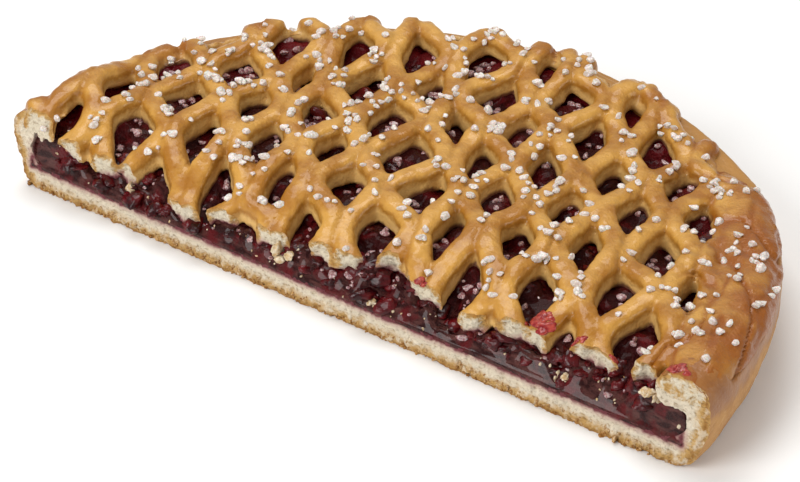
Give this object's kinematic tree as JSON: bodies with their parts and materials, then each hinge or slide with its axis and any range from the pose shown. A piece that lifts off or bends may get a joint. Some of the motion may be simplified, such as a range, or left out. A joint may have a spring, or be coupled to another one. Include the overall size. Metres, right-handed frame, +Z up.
{
  "type": "half cherry lattice pie",
  "caption": "Half of a round cherry pie, cut straight across: dough base and wall, dark cherry filling showing along the cut, and an open dough lattice on top.",
  "frame": {"origin": "middle of the pie's box at the height of the table it rests on", "axes": "+X along the straight cut, +Y from the cut towards the round back, +Z up"},
  "size_m": [0.27, 0.1428, 0.0333],
  "materials": {
    "crust": "baked dough, pale crumb on the cut, golden brown skin outside",
    "filling": "wet dark red cherry jelly with fruit pieces",
    "lattice": "egg-glazed golden dough strewn with coarse sugar"
  },
  "bodies": {
    "root": {"crust": "crust", "filling": "filling", "lattice_lid": "lattice"}
  },
  "joints": []
}
